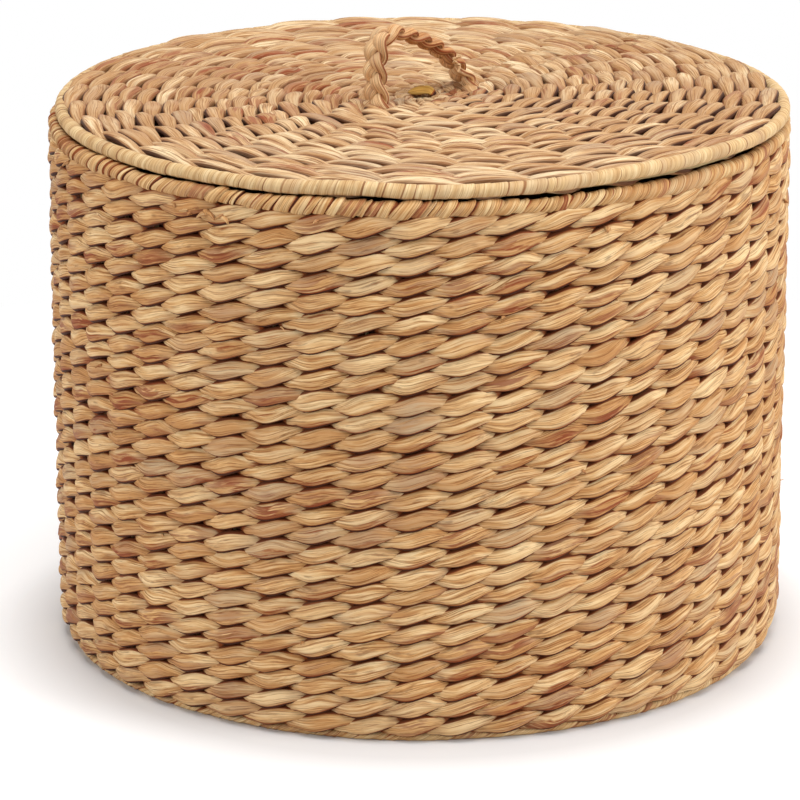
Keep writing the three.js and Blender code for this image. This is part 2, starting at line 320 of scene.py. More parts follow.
def add_node(
    tree: Tree, kind: str, inputs: dict | tuple = (), output: int | str = 0, **settings: object
) -> Socket | None:
    """Add a node with its settings, and link or fill its inputs.

    Args:
        tree: the node tree that gets the node.
        kind: Blender's type name of the node.
        inputs: values or sockets, in order or by the input's name or number.
        output: the name or number of the output that is wanted.
        settings: the node's own properties.

    Returns:
        The output socket, or None where the node has no outputs.
    """
    node = tree.nodes.new(kind)
    for label, value in settings.items():
        setattr(node, label, value)
    for label, value in inputs.items() if isinstance(inputs, dict) else enumerate(inputs):
        socket = node.inputs[label]
        if isinstance(value, Socket):
            tree.links.new(value, socket)
        else:
            socket.default_value = value
    return node.outputs[output] if node.outputs else None


@dataclass(frozen=True)
class StrandFinish:
    """Sun-dried water-weed stalk, flattened, twisted and woven.

    Long fibres run along the strand, so its colour is streaked from straw to brown. Some
    strands keep red-brown skin or a grey bloom. In the crevices painted shade turns the colour
    reddish brown, then dark. The real fibres are finer than the render shows, so they are
    drawn about four times as wide. Each pair of ends says where in the noise, or in the depth
    of the painted shade, a colour starts and is full.
    """

    name: str
    pale: str = "#efd09d"
    straw: str = "#d6a76d"
    tan: str = "#b67f49"
    brown: str = "#5f2c0d"
    red: str = "#863a18"
    warm_shade: str = "#853708"
    grey: str = "#9d826b"
    crevice_shade: str = "#371403"
    fibre_width_mm: float = 0.85
    fibre_length_mm: float = 30.0
    band_width_mm: float = 4.0
    blotch_mm: float = 9.0
    hair_fineness: float = 2.5
    hair_shortness: float = 1.5
    streak_detail: float = 3.0
    streak_roughness: float = 0.6
    fibre_share: float = 0.4
    ramp_stops: tuple[float, float, float] = (0.39, 0.475, 0.57)
    tint_share: float = 0.7
    skin_ends: Pair = (0.46, 0.53)
    skin_share: float = 0.95
    vein_ends: Pair = (0.5, 0.58)
    vein_share: float = 0.5
    crack_ends: Pair = (0.4, 0.44)
    crack_share: float = 0.45
    fleck_ends: Pair = (0.62, 0.7)
    fleck_share: float = 0.45
    warm_shade_ends: Pair = (0.34, 0.5)
    warm_shade_share: float = 0.9
    crevice_shade_ends: Pair = (0.6, 0.76)
    crevice_shade_share: float = 0.94
    fibre_ends: Pair = (0.3, 0.7)
    roughness_ends: Pair = (0.74, 0.54)
    specular: float = 0.2
    hair_share: float = 0.4
    bump_mm: float = 0.8

    def streaks(self, tree: Tree, grain: Socket, width_mm: float, length_mm: float) -> Socket:
        """Draw noise that is long along the strand and narrow across it.

        Args:
            tree: the material's node tree.
            grain: the socket of the grain attribute, in metres.
            width_mm: how wide a streak is.
            length_mm: how long a streak is.

        Returns:
            The noise's value socket.
        """
        scale = tuple(1 / (size * MM) for size in (length_mm, width_mm, width_mm))
        stretched = add_node(tree, "ShaderNodeVectorMath", (grain, scale), operation="MULTIPLY")
        inputs = {"Scale": 1.0, "Detail": self.streak_detail, "Roughness": self.streak_roughness}
        return add_node(tree, "ShaderNodeTexNoise", inputs | {"Vector": stretched}, "Fac")

    def streaked(self, tree: Tree, band: Socket, fibre: Socket) -> Socket:
        """Colour the bands and fibres from tan over straw to pale.

        Args:
            tree: the material's node tree.
            band: the broad streaks.
            fibre: the narrow streaks.

        Returns:
            The colour socket.
        """
        mix = {MIX_SHARE: self.fibre_share, MIX_UNDER: band, MIX_OVER: fibre}
        streak = add_node(tree, "ShaderNodeMix", mix, MIX_COLOUR, data_type="RGBA")
        colour = add_node(tree, "ShaderNodeValToRGB", (streak,))
        elements = colour.node.color_ramp.elements
        elements.new(self.ramp_stops[1])
        for element, place, shade in zip(elements, self.ramp_stops, (self.tan, self.straw, self.pale)):
            element.position = place
            element.color = linear(shade)
        return colour

    def build(self) -> Material:
        """Make the material.

        Returns:
            A material that reads the strand attributes of the pieces.
        """
        material = bpy.data.materials.new(self.name)
        tree = blank_tree(material)
        grain = add_node(tree, "ShaderNodeAttribute", (), "Vector", attribute_name="strand_grain")
        tint = add_node(tree, "ShaderNodeAttribute", (), "Vector", attribute_name="strand_tint")
        depth = add_node(tree, "ShaderNodeAttribute", (), "Fac", attribute_name="strand_depth")
        light, red, grey = add_node(tree, "ShaderNodeSeparateXYZ", (tint,)).node.outputs
        width = self.fibre_width_mm
        length = self.fibre_length_mm
        fibre = self.streaks(tree, grain, width, length)
        band = self.streaks(tree, grain, self.band_width_mm, length)
        vein = self.streaks(tree, grain, self.band_width_mm / 2, length)
        blotch = self.streaks(tree, grain, self.blotch_mm / 2, self.blotch_mm * 2)
        hair = self.streaks(tree, grain, width / self.hair_fineness, length / self.hair_shortness)
        skin = add_node(tree, "ShaderNodeMapRange", (band, *self.skin_ends, 0.0, 1.0))
        red_skin = add_node(tree, "ShaderNodeMath", (red, skin), operation="MULTIPLY")
        colour = self.streaked(tree, band, fibre)
        # The last two layers are painted shade: reddish brown, then dark, as the depth grows
        layers = (
            (light, (0.0, 1.0), (0.0, self.tint_share), self.pale),
            (light, (-1.0, 0.0), (self.tint_share, 0.0), self.tan),
            (grey, (0.0, 1.0), (0.0, self.tint_share), self.grey),
            (red_skin, (0.0, 1.0), (0.0, self.skin_share), self.red),
            (vein, self.vein_ends, (0.0, self.vein_share), self.tan),
            (fibre, self.crack_ends, (self.crack_share, 0.0), self.brown),
            (blotch, self.fleck_ends, (0.0, self.fleck_share), self.brown),
            (depth, self.warm_shade_ends, (0.0, self.warm_shade_share), self.warm_shade),
            (depth, self.crevice_shade_ends, (0.0, self.crevice_shade_share), self.crevice_shade),
        )
        for value, ends, shares, over in layers:
            share = add_node(tree, "ShaderNodeMapRange", (value, *ends, *shares))
            mix = {MIX_SHARE: share, MIX_UNDER: colour, MIX_OVER: linear(over)}
            colour = add_node(tree, "ShaderNodeMix", mix, MIX_COLOUR, data_type="RGBA")

        mix = {MIX_SHARE: self.hair_share, MIX_UNDER: fibre, MIX_OVER: hair}
        height = add_node(tree, "ShaderNodeMix", mix, MIX_COLOUR, data_type="RGBA")
        bump = {"Strength": 1.0, "Distance": self.bump_mm * MM, "Height": height}
        rough = (fibre, *self.fibre_ends, *self.roughness_ends)
        shader = {
            "Base Color": colour,
            "Roughness": add_node(tree, "ShaderNodeMapRange", rough),
            "Normal": add_node(tree, "ShaderNodeBump", bump),
            "Specular IOR Level": self.specular,
        }
        add_node(tree, "ShaderNodeOutputMaterial", (add_node(tree, "ShaderNodeBsdfPrincipled", shader),))
        return material


# Stalks of the wall, bleached straw with painted shade in the folds: they give it its warm, streaky look
WALL_STRANDS = StrandFinish("dried_water_weed_twined")
# Stalks of the lid, more bleached by the light from above, with half as much painted reddish shade in the
# crevices, so these look less red
LID_STRANDS = StrandFinish(
    "dried_water_weed_lid", pale="#ecd4aa", straw="#cea779", tan="#a87b4d", warm_shade="#763c14", warm_shade_share=0.5
)
# Stalks inside the body, a duller straw: painted shade for the light that does not reach in there
SHADED_INSIDE_STRANDS = StrandFinish("dried_water_weed_inside_shaded", straw="#c39a63", pale="#d8b884")
# Flat strip of leaf bound round the rim and the foot, smoother than the stalks
FLAT_STRIP = StrandFinish(
    "flat_strip_wrapping",
    pale="#e4c896",
    straw="#cfa56d",
    tan="#b07c48",
    fibre_width_mm=0.9,
    blotch_mm=14,
    bump_mm=0.4,
    crack_share=0.4,
)
# Pale inner skin of a stalk round the lid's edge, almost without cracks, so it looks smooth
EDGE_STRIP = StrandFinish(
    "smooth_pale_edge_strip",
    pale="#dac093",
    straw="#caa876",
    tan="#b38b5b",
    brown="#8a5a30",
    warm_shade="#865630",
    crevice_shade="#4e2a10",
    fibre_width_mm=0.8,
    blotch_mm=16,
    bump_mm=0.3,
    crack_share=0.35,
)
# Thin stalks of the plait, handled and a little pinker than the lid
PLAIT = StrandFinish("plaited_weed_strands", pale="#f4d3a2", straw="#e0ad76", tan="#bb7f4a")
# Leaf that dried before it bleached, which leaves it olive
OLIVE_LEAF = StrandFinish("olive_dried_leaf", pale="#d0a455", straw="#b8893c", tan="#8f6a2c")


@dataclass(frozen=True)
class StickFinish:
    """Peeled thin stick, dull pale khaki with a fine grain along it."""

    name: str = "peeled_stick"
    light: str = "#b9a374"
    dark: str = "#7c6743"
    grain_mm: float = 3.0
    detail: float = 4.0
    roughness: float = 0.75
    bump_share: float = 0.4
    bump_mm: float = 0.2

    def build(self) -> Material:
        """Make the material.

        Returns:
            A material on object coordinates.
        """
        material = bpy.data.materials.new(self.name)
        tree = blank_tree(material)
        place = add_node(tree, "ShaderNodeTexCoord", (), "Object")
        inputs = {"Vector": place, "Scale": 1 / (self.grain_mm * MM), "Detail": self.detail}
        noise = add_node(tree, "ShaderNodeTexNoise", inputs, "Fac")
        mix = {MIX_SHARE: noise, MIX_UNDER: linear(self.dark), MIX_OVER: linear(self.light)}
        bump = {"Strength": self.bump_share, "Distance": self.bump_mm * MM, "Height": noise}
        shader = {
            "Base Color": add_node(tree, "ShaderNodeMix", mix, MIX_COLOUR, data_type="RGBA"),
            "Roughness": self.roughness,
            "Normal": add_node(tree, "ShaderNodeBump", bump),
        }
        add_node(tree, "ShaderNodeOutputMaterial", (add_node(tree, "ShaderNodeBsdfPrincipled", shader),))
        return material


# Twining


def along_lobes(values: np.ndarray, places: np.ndarray) -> np.ndarray:
    """Read a value for each lobe at places between lobes, easing from one to the next.

    Args:
        values: one value, or one row of values, for each lobe of the ring.
        places: where to read, counted in lobes.

    Returns:
        The eased values, one for each place.
    """
    whole = np.floor(places).astype(int)
    share = smooth_share(places - whole)
    if values.ndim > 1:
        share = share[:, None]
    count = len(values)
    return values[whole % count] * (1 - share) + values[(whole + 1) % count] * share


def bounded(source: np.random.Generator, middle: float, spread: float, count: int) -> np.ndarray:
    """Draw values round a middle, none further off than the bound's number of spreads."""
    return middle + spread * np.clip(source.normal(0.0, 1.0, count), -SPREAD_BOUND, SPREAD_BOUND)


@dataclass(frozen=True)
class LobeColours:
    """How the lobes of a strand vary: lightness wanders, and a few are red-brown or grey."""

    own_spread: float = 0.22
    light_spread: float = 0.28
    red_chance: float = 0.13
    red: Pair = (0.3, 1.0)
    faint_red: Pair = (0.0, 0.14)
    grey_chance: float = 0.12
    grey: Pair = (0.3, 0.9)
    faint_grey: Pair = (0.0, 0.12)

    def draw(self, source: np.random.Generator, count: int) -> np.ndarray:
        """Choose lightness, redness and greyness for each lobe of a strand.

        Args:
            source: the seeded random source.
            count: the number of lobes.

        Returns:
            One row of three values for each lobe.
        """
        own = source.normal(0.0, self.own_spread)
        light = np.clip(own + source.normal(0.0, self.light_spread, count), -1.0, 1.0)
        reddened = source.random(count) < self.red_chance
        red = np.where(reddened, source.uniform(*self.red, count), source.uniform(*self.faint_red, count))
        greyed = source.random(count) < self.grey_chance
        grey = np.where(greyed, source.uniform(*self.grey, count), source.uniform(*self.faint_grey, count))
        return stacked(light, red, grey)


@dataclass(frozen=True)
class StrandForm:
    """How far a twined strand swings and its half sizes.

    thin and broad hold where it passes a stick, thick and narrow where two strands cross.
    """

    reach: float
    lean: float
    rise: float
    thin: float
    thick: float
    broad: float = 6.5 * MM
    narrow: float = 4.25 * MM


@dataclass
class TwinedStrand:
    """One strand of a twined course, worked out in two directions.

    Height is measured across the weave's surface: outwards on the wall and upwards on the
    lid. Shift is measured along the surface, across the course: up on the wall and outwards
    on the lid. The phase p makes half a turn to each stick, and crowding * sin(p) is taken off
    it, so that the strand lingers where it passes a stick. With c = cos(p + lead), its middle
    lies at height reach * c ** outer_power + lean where c is positive, and
    -reach * |c| ** inner_power + lean where it isn't, and at shift
    rise * (sin(p) - bow * sin(2 * p) + ripple * sin(3 * p)). Its section is a squarish
    ellipse, swollen a little at three places, broad and thin where it passes a stick, and
    narrow and thick where the strands cross. A few sharp grooves wind along it, as in a flat
    leaf that was twisted into a cord. One side of some lobes is painted darker and redder,
    where a flap folded over would lie: part red-brown skin, part painted shade. Painted shade
    also darkens the parts of the strand that lie deep in the weave, its edges, its grooves
    and the flap's fold line.
    """

    form: StrandForm
    sticks: int
    steps: int
    sides: int
    pitch_length: float
    source: np.random.Generator
    first_phase: float
    wander: float
    sway_phase: float
    start: float = 0.0
    tilt: float = 0.18
    lead: float = 0.0
    # Painted shade along the strand's edges, more on one edge than on the other
    edge_share: float = 1.0
    edge_start: float = 0.66
    edge_spread: float = 0.18
    edge_ends: Pair = (0.84, 0.16)
    # Painted shade: the weave darker towards the left and right of the camera's view, with more edge shade
    # there
    dull_share: float = 0.0
    side_edge_shade: float = 0.25
    side_shade_angle: float = VIEW_AZIMUTH
    crowding: float = 0.27
    jitter: float = 0.045
    size: Pair = (1.04, 0.065)
    lift: Pair = (-0.2 * MM, 0.4 * MM)
    drift: float = 0.3 * MM
    tilt_spread: float = 0.07
    sway_waves: int = 3
    outer_power: float = 0.7
    inner_power: float = 2.4
    broad_power: float = 1.3
    bow: float = 0.15
    ripple: float = 0.09
    twists: tuple[float, ...] = (-0.35, 0.25, 0.5)
    grooves: int = 5
    groove_width: float = 0.2
    groove_wander: float = 0.45
    groove_ends: Pair = (0.1, 1.0)
    groove_power: float = 1.4
    groove_shade: float = 0.53
    fold: float = 0.2
    turn_spread: float = 0.8
    swelling: float = 0.05
    squareness: float = 0.8
    # Painted shade with red-brown skin on one side of some lobes, and a painted shade line along its fold
    flap_shade_middle: float = 1.05
    flap_shade_wander: float = 0.5
    flap_shade_share: float = 0.62
    flap_shade_chance: float = 1.2
    flap_shade_edge: float = 7.0
    flap_shade_red: float = 0.9
    line_edge: float = 6.0
    line_shade: float = 0.56
    sunk_shade_ends: Pair = (1.4, 0.5)

    def __post_init__(self) -> None:
        """Work out each row's phase and its place in lobes, and the angles round the strand."""
        rows = self.sticks * self.steps
        phase = math.pi * np.arange(rows) / self.steps + self.first_phase
        self.phase = phase - self.crowding * np.sin(phase)
        self.place = (self.phase - self.first_phase) / math.pi
        self.around = np.arange(self.sides) * TAU / self.sides

    def eased(self, values: np.ndarray) -> np.ndarray:
        """Ease one value for each lobe along the strand's rows."""
        return along_lobes(values, self.place)

    def varied(self, middle: float, spread: float) -> np.ndarray:
        """Draw a value for each lobe round a middle, and ease them along the rows."""
        return self.eased(bounded(self.source, middle, spread, self.sticks))

    def wound_grooves(self, twist: float) -> np.ndarray:
        """Draw the grooves that wind along the strand.

        Args:
            twist: how far they turn round the strand from lobe to lobe.

        Returns:
            How deep each point lies in a groove, from nought to one.
        """
        grooves = np.zeros((len(self.place), self.sides))
        for _ in range(self.grooves):
            wander = self.eased(self.source.normal(0.0, self.groove_wander, self.sticks))
            middle = (self.source.uniform(0, TAU) + twist * self.place + wander)[:, None]
            deep = self.eased(self.source.uniform(*self.groove_ends, self.sticks) ** self.groove_power)
            off = np.angle(np.exp(1j * (self.around - middle)))
            grooves = np.maximum(grooves, deep[:, None] * bell(off / self.groove_width))
        return grooves

    def middle_line(self, angle: np.ndarray) -> tuple[np.ndarray, ...]:
        """Work out the strand's middle and half sizes.

        Args:
            angle: the angle round the basket of each row.

        Returns:
            The height and shift of the middle, the half height and half shift, and how far
            the section leans over, one value of each for a row.
        """
        form = self.form
        size = self.varied(*self.size)
        lift = self.varied(*self.lift)
        drift = self.varied(0.0, self.drift)
        lean_over = self.varied(self.tilt, self.tilt_spread)
        sway = self.wander * np.sin(angle * self.sway_waves + self.sway_phase)
        cosine = np.cos(self.phase + self.lead)
        over = np.abs(cosine)
        outside = np.where(cosine > 0, over**self.outer_power, -(over**self.inner_power))
        half_height = (form.thick + (form.thin - form.thick) * over**2) * size
        half_shift = (form.narrow + (form.broad - form.narrow) * over**self.broad_power) * size
        ramp = np.sin(self.phase) - self.bow * np.sin(2 * self.phase) + self.ripple * np.sin(3 * self.phase)
        height = form.reach * outside + form.lean + lift
        return height, form.rise * ramp + drift + sway, half_height, half_shift, lean_over

    def build(self) -> Surface:
        """Work out the strand's surface.

        Returns:
            The surface, whose points hold the angle round the basket, the height and the
            shift.
        """
        form = self.form
        jitter = self.varied(0.0, self.jitter)
        angle = (self.start + (self.place + jitter) * TAU / self.sticks)[:, None]
        sizes = self.middle_line(angle[:, 0])
        middle_height, middle_shift, half_height, half_shift, lean_over = [size[:, None] for size in sizes]
        twist = self.source.choice(self.twists)
        grooves = self.wound_grooves(twist)
        turn = twist * self.place + self.eased(self.source.normal(0.0, self.turn_spread, self.sticks))
        turn = turn[:, None]
        sine = np.sin(self.around)
        cosine = np.cos(self.around)
        swollen = 1 + self.swelling * np.cos(3 * self.around + 2 * turn)
        across = half_shift * sine * swollen
        squared = np.sign(cosine) * np.abs(cosine) ** self.squareness
        factor = swollen - self.fold * grooves
        height = middle_height + half_height * squared * factor - lean_over * across
        length = (self.pitch_length * self.place + self.source.uniform(0, GRAIN_SHIFT))[:, None]
        wound = self.around + turn / 2
        grain = stacked(length, form.broad * np.sin(wound), form.broad * np.cos(wound))

        colours = self.eased(LobeColours().draw(self.source, self.sticks))
        light, red, grey = [colours[:, channel, None] for channel in range(3)]
        # Painted shade: lightness falls towards the left and right of the camera's view
        side_shade = self.dull_share * np.cos(angle - self.side_shade_angle) ** 2
        light = np.clip(light - side_shade, -1.0, 1.0)
        # Painted shade with red-brown skin: some lobes turn darker and redder on one side, with a painted
        # shade line at the fold
        turned = np.cos(self.around + self.flap_shade_middle + self.flap_shade_wander * np.sin(turn)) - self.flap_shade_share
        chances = self.source.uniform(0.0, 1.0, self.sticks) ** 2
        browned = self.eased(np.minimum(self.flap_shade_chance * chances, 1.0))[:, None]
        shaded = browned * smooth_share(self.flap_shade_edge * turned)
        light = np.clip(light - shaded, -1.0, 1.0)
        red = np.clip(red + self.flap_shade_red * shaded, 0.0, 1.0)
        # Painted shade: the parts deep in the weave, the edges, the grooves and the fold line set the depth
        # that the finish darkens
        sunk_shade = 1 - np.abs(height - form.lean) / (form.reach + form.thin)
        edge = smooth_share((np.abs(sine) - self.edge_start) / self.edge_spread)
        edge = edge * (self.edge_share + self.side_edge_shade * side_shade)
        edge = edge * (self.edge_ends[0] - self.edge_ends[1] * np.sign(self.tilt) * sine)
        shades = (
            np.clip(self.sunk_shade_ends[0] * sunk_shade - self.sunk_shade_ends[1], 0.0, 1.0),
            edge,
            self.groove_shade * grooves,
            self.line_shade * browned * bell(self.line_edge * turned),
        )
        depth = np.maximum.reduce(np.broadcast_arrays(*shades))
        return Surface(stacked(angle, height, middle_shift + across), grain, stacked(light, red, grey), depth)


@dataclass(kw_only=True)
class Weave:
    """What the courses of the wall, the lid and the base share."""

    form: StrandForm
    sticks: int
    steps: int
    sides: int
    seed: int
    wander: float
    sway_step: float = 2.2

    def pair(self, number: int, **others: object) -> list[Surface]:
        """Make the two strands of a course, which start half a turn apart.

        Args:
            number: the course, counted from the first.
            others: more fields of the strands, or other values for them.

        Returns:
            The two surfaces, whose points hold angle, height and shift.
        """
        shared = {
            "form": self.form,
            "sticks": self.sticks,
            "steps": self.steps,
            "sides": self.sides,
            "wander": self.wander,
            "sway_phase": self.sway_step * number,
        }
        strands = []
        for side in range(2):
            source = np.random.default_rng((self.seed, number, side))
            phase = math.pi * (side + number)
            strands.append(TwinedStrand(source=source, first_phase=phase, **(shared | others)).build())
        return strands


@dataclass(kw_only=True)
class Wall(Weave):
    """The basket's wall: twenty-seven twined courses round fifty sticks."""

    form: StrandForm = StrandForm(
        reach=3.7 * MM, lean=0.9 * MM, rise=3.05 * MM, thin=3.3 * MM, thick=4.4 * MM
    )
    sticks: int = WALL_STICKS
    steps: int = 9
    sides: int = 24
    seed: int = 11
    wander: float = 0.7 * MM
    courses: int = WALL_COURSES
    courses_in_piece: tuple[int, ...] = (4, 4, 4, 4, 4, 4, 3)
    circle: float = WALL_CIRCLE
    corner_height: float = 24 * MM
    corner_inset: float = 8 * MM

    def middle_radius(self, height: np.ndarray) -> np.ndarray:
        """Give the sticks' distance from the axis: straight, drawn in round the bottom corner."""
        drop = np.clip((self.corner_height - height) / self.corner_height, 0.0, 1.0)
        return self.circle - self.corner_inset * (1 - np.sqrt(1 - drop**2))

    def course(self, number: int, bottom: float, pitch: float) -> list[Surface]:
        """Make the two strands of one course.

        Args:
            number: the course, counted from the bottom.
            bottom: the height of the weave's lower edge.
            pitch: the height of a course.

        Returns:
            The two strands.
        """
        strands = self.pair(number, pitch_length=TAU * self.circle / self.sticks)
        for strand in strands:
            angle, height, shift = np.moveaxis(strand.points, -1, 0)
            level = bottom + (number + 0.5) * pitch + shift
            strand.points = round_points(angle, self.middle_radius(level) + height, level)
        return [strand.flipped() for strand in strands]

    def build(self, material: Material) -> None:
        """Make the wall's pieces from the bottom up and seat them on the basket.

        Args:
            material: the strands' finish.
        """
        low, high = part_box("wall_outer_weave")
        pitch = (high.z - low.z) / self.courses
        first = 0
        for number, count in enumerate(self.courses_in_piece):
            chosen = range(first, first + count)
            strands = [strand for course in chosen for strand in self.course(course, low.z, pitch)]
            piece = make_piece(f"wall_courses_{number + 1}", strands, material)
            seat(piece, Body.BASKET, "strands", "wall_outer_weave", "wall_inner_weave")
            first += count


@dataclass(kw_only=True)
class RoundWeave(Weave):
    """A flat round of twined courses: the lid or the base.

    The courses near the centre pass half as many sticks as the outer ones, and they swing
    less where the sticks stand close.
    """

    label: str
    body: Body
    slot: str
    nodes: tuple[str, ...]
    middle_height: float
    outer_radius: float
    courses: int
    wide_courses: int
    pieces: int
    inner_radius: float = WEAVE_START
    centre: Pair = AXIS
    wander: float = 0.6 * MM
    shuffle: float = 0.3
    full_swing: float = 2.2
    broad_share: float = 0.53
    narrow_share: float = 0.36
    tilt: float = -0.05
    lead: float = 0.54
    edge_share: float = 0.66
    edge_start: float = 0.69
    # Painted shade on the round: darker towards the left and right of the camera's view
    dull_share: float = 0.8

    def course(self, number: int) -> list[Surface]:
        """Make the two strands of one ring of the weave.

        Args:
            number: the course, counted from the centre.

        Returns:
            The two strands.
        """
        pitch = (self.outer_radius - self.inner_radius) / self.courses
        ring = self.inner_radius + (number + 0.5) * pitch
        wide = number < self.wide_courses
        sticks = self.sticks // 2 if wide else self.sticks
        shuffle = np.random.default_rng((self.seed, number)).uniform(-self.shuffle, self.shuffle)
        spacing = TAU * ring / sticks
        flat = min(1.0, spacing / (self.full_swing * pitch)) ** 0.5
        strands = self.pair(
            number,
            form=replace(
                self.form,
                reach=self.form.reach * flat,
                broad=self.broad_share * pitch,
                narrow=self.narrow_share * pitch,
            ),
            sticks=sticks,
            pitch_length=spacing,
            start=(math.pi if wide else 0.0) / sticks + shuffle * TAU / sticks,
            tilt=self.tilt,
            lead=self.lead,
            edge_share=self.edge_share,
            edge_start=self.edge_start,
            dull_share=self.dull_share,
        )
        for strand in strands:
            angle, height, shift = np.moveaxis(strand.points, -1, 0)
            strand.points = round_points(angle, ring + shift, self.middle_height + height, self.centre)
        return strands

    def build(self, material: Material) -> None:
        """Make the round's pieces from the centre outwards and seat them.

        Args:
            material: the strands' finish.
        """
        share = self.courses / self.pieces
        for number in range(self.pieces):
            chosen = range(round(number * share), round((number + 1) * share))
            strands = [strand for course in chosen for strand in self.course(course)]
            piece = make_piece(f"{self.label}_{number + 1}", strands, material)
            seat(piece, self.body, self.slot, *self.nodes)


@dataclass(kw_only=True)
class LidWeave(RoundWeave):
    """The lid: nineteen rings round thirty-two spokes, eight of them round pairs of spokes."""

    label: str = "lid_courses"
    body: Body = Body.LID
    slot: str = "strands"
    nodes: tuple[str, ...] = ("lid_upper_weave", "lid_lower_weave")
    outer_radius: float = LID_RADIUS
    courses: int = LID_COURSES
    wide_courses: int = 8
    sticks: int = LID_STICKS
    steps: int = 10
    sides: int = 20
    pieces: int = 3
    seed: int = 31
    form: StrandForm = StrandForm(
        reach=3.6 * MM, lean=0.8 * MM, rise=3.2 * MM, thin=2.9 * MM, thick=3.9 * MM
    )


@dataclass(kw_only=True)
class BaseWeave(RoundWeave):
    """The base: eighteen rings, seen only from below and inside, so of fewer points."""

    label: str = "base_courses"
    body: Body = Body.BASKET
    slot: str = "strands_inside"
    nodes: tuple[str, ...] = ("base_upper_weave", "base_lower_weave")
    outer_radius: float = BASE_RADIUS
    courses: int = BASE_COURSES
    wide_courses: int = 7
    sticks: int = WALL_STICKS
    steps: int = 5
    sides: int = 10
    pieces: int = 1
    seed: int = 41
    form: StrandForm = StrandForm(
        reach=2.4 * MM, lean=0.4 * MM, rise=2.8 * MM, thin=2.6 * MM, thick=3.2 * MM
    )


# Wrapped bindings


@dataclass(kw_only=True)
class WrappedRing:
    """A core bound with one long strip, turn beside turn.

    Round the section the surface lies at the ring's half width and half height. Along the
    ring a saw-tooth share of the turn lifts one edge of each turn over the last one, and a
    narrow groove lies between them, darkened by painted shade. The logarithms of the turns'
    widths follow a bell curve.
    A turn leans by slope times its width, and the whole swells in two waves, each given by
    its height, its number round the ring, and its phase or its lean.
    """

    name: str
    body: Body
    node: str
    circle: float
    middle_height: float
    half_width: float
    half_height: float
    turn_width: float
    slope: float
    lift: float
    redness: float
    lightness: float
    edge_painted_shade: float
    seed: int
    centre: Pair = AXIS
    steps: int = 14
    sides: int = 20
    floor: float = -1.0
    bends: tuple[tuple[float, float, float], ...] = ()
    width_spread: float = 0.42
    width_ends: Pair = (0.4, 2.0)
    slope_ends: Pair = (0.7, 1.3)
    saw_spread: float = 0.5
    edge_width: float = 0.1
    edge_ends: Pair = (0.2, 1.0)
    edge_drop: float = 0.7
    bulge_spread: float = 0.4
    light_spread: float = 0.25
    red_chance: float = 0.2
    red_ends: Pair = (0.2, 0.7)
    grey_chance: float = 0.1
    grey: float = 0.4
    faint: float = 0.04
    grain_step: float = 0.7
    long_wave: tuple[float, int, float] = (0.5, 7, 0.4)
    short_wave: tuple[float, int, float] = (0.4, 17, 2.0)

    def warp(self, angle: np.ndarray) -> np.ndarray:
        """Give how far the ring is bent up: a bell curve round each of the warped places."""
        bent = [rise * bell((angle - place) / spread) for place, spread, rise in self.bends]
        return sum(bent, np.zeros_like(angle))

    def swell(self, angle: np.ndarray, around: np.ndarray) -> np.ndarray:
        """Give two waves along the ring, the shorter of which leans round the section.

        Args:
            angle: the angle round the ring of each point.
            around: its angle round the section.

        Returns:
            How much each point is swollen.
        """
        long_swell = self.long_wave[0] * np.sin(angle * self.long_wave[1] + self.long_wave[2])
        leaning = self.short_wave[2] * np.sin(around)
        return long_swell + self.short_wave[0] * np.sin(angle * self.short_wave[1] + leaning)

    def build(self, material: Material) -> None:
        """Make the binding and seat it.

        Args:
            material: the strip's finish.
        """
        source = np.random.default_rng(self.seed)
        turns = round(TAU * self.circle / self.turn_width)
        widths = np.clip(np.exp(source.normal(0.0, self.width_spread, turns)), *self.width_ends)
        starts = np.cumsum(widths) - widths
        whole = np.repeat(np.arange(turns), self.steps)[:, None]
        share = (np.tile(np.arange(self.steps), turns) / self.steps)[:, None]
        around = (np.arange(self.sides)[None, :] + 0.5) * TAU / self.sides - math.pi
        slope = self.slope * source.uniform(*self.slope_ends, turns)[whole]
        lean = slope * self.turn_width / self.circle * np.sin(around)
        angle = (starts[whole] + share * widths[whole]) / widths.sum() * TAU + lean
        saw = (share - 0.5) * (1 + source.normal(0.0, self.saw_spread, turns)[whole])
        between = bell(np.minimum(share, 1 - share) / self.edge_width)
        edge = between * source.uniform(*self.edge_ends, turns)[whole]
        bulge = source.normal(0.0, self.bulge_spread, turns)[whole] * np.sin(math.pi * share)
        factor = 1 + self.lift * (saw - self.edge_drop * edge + bulge + self.swell(angle, around))
        radius = self.circle + self.half_width * factor * np.cos(around)
        level = self.middle_height + self.half_height * factor * np.sin(around) + self.warp(angle)
        points = round_points(angle, radius, np.maximum(level, self.floor), self.centre)
        light = source.normal(self.lightness, self.light_spread, turns)
        reddened = source.random(turns) < self.red_chance
        red = np.where(reddened, source.uniform(*self.red_ends, turns), self.faint) * self.redness
        grey = np.where(source.random(turns) < self.grey_chance, self.grey, self.faint)
        tint = stacked(np.clip(light, -1, 1), np.clip(red, 0, 1), grey)[whole]
        grain = stacked(around * self.half_width + self.grain_step * whole, (angle - lean) * self.circle, 0.0)
        # Painted shade in the grooves between the turns
        surface = Surface(points, grain, tint, self.edge_painted_shade * edge).flipped()
        piece = make_piece(self.name, [surface], material)
        seat(piece, self.body, "wrapping", self.node)


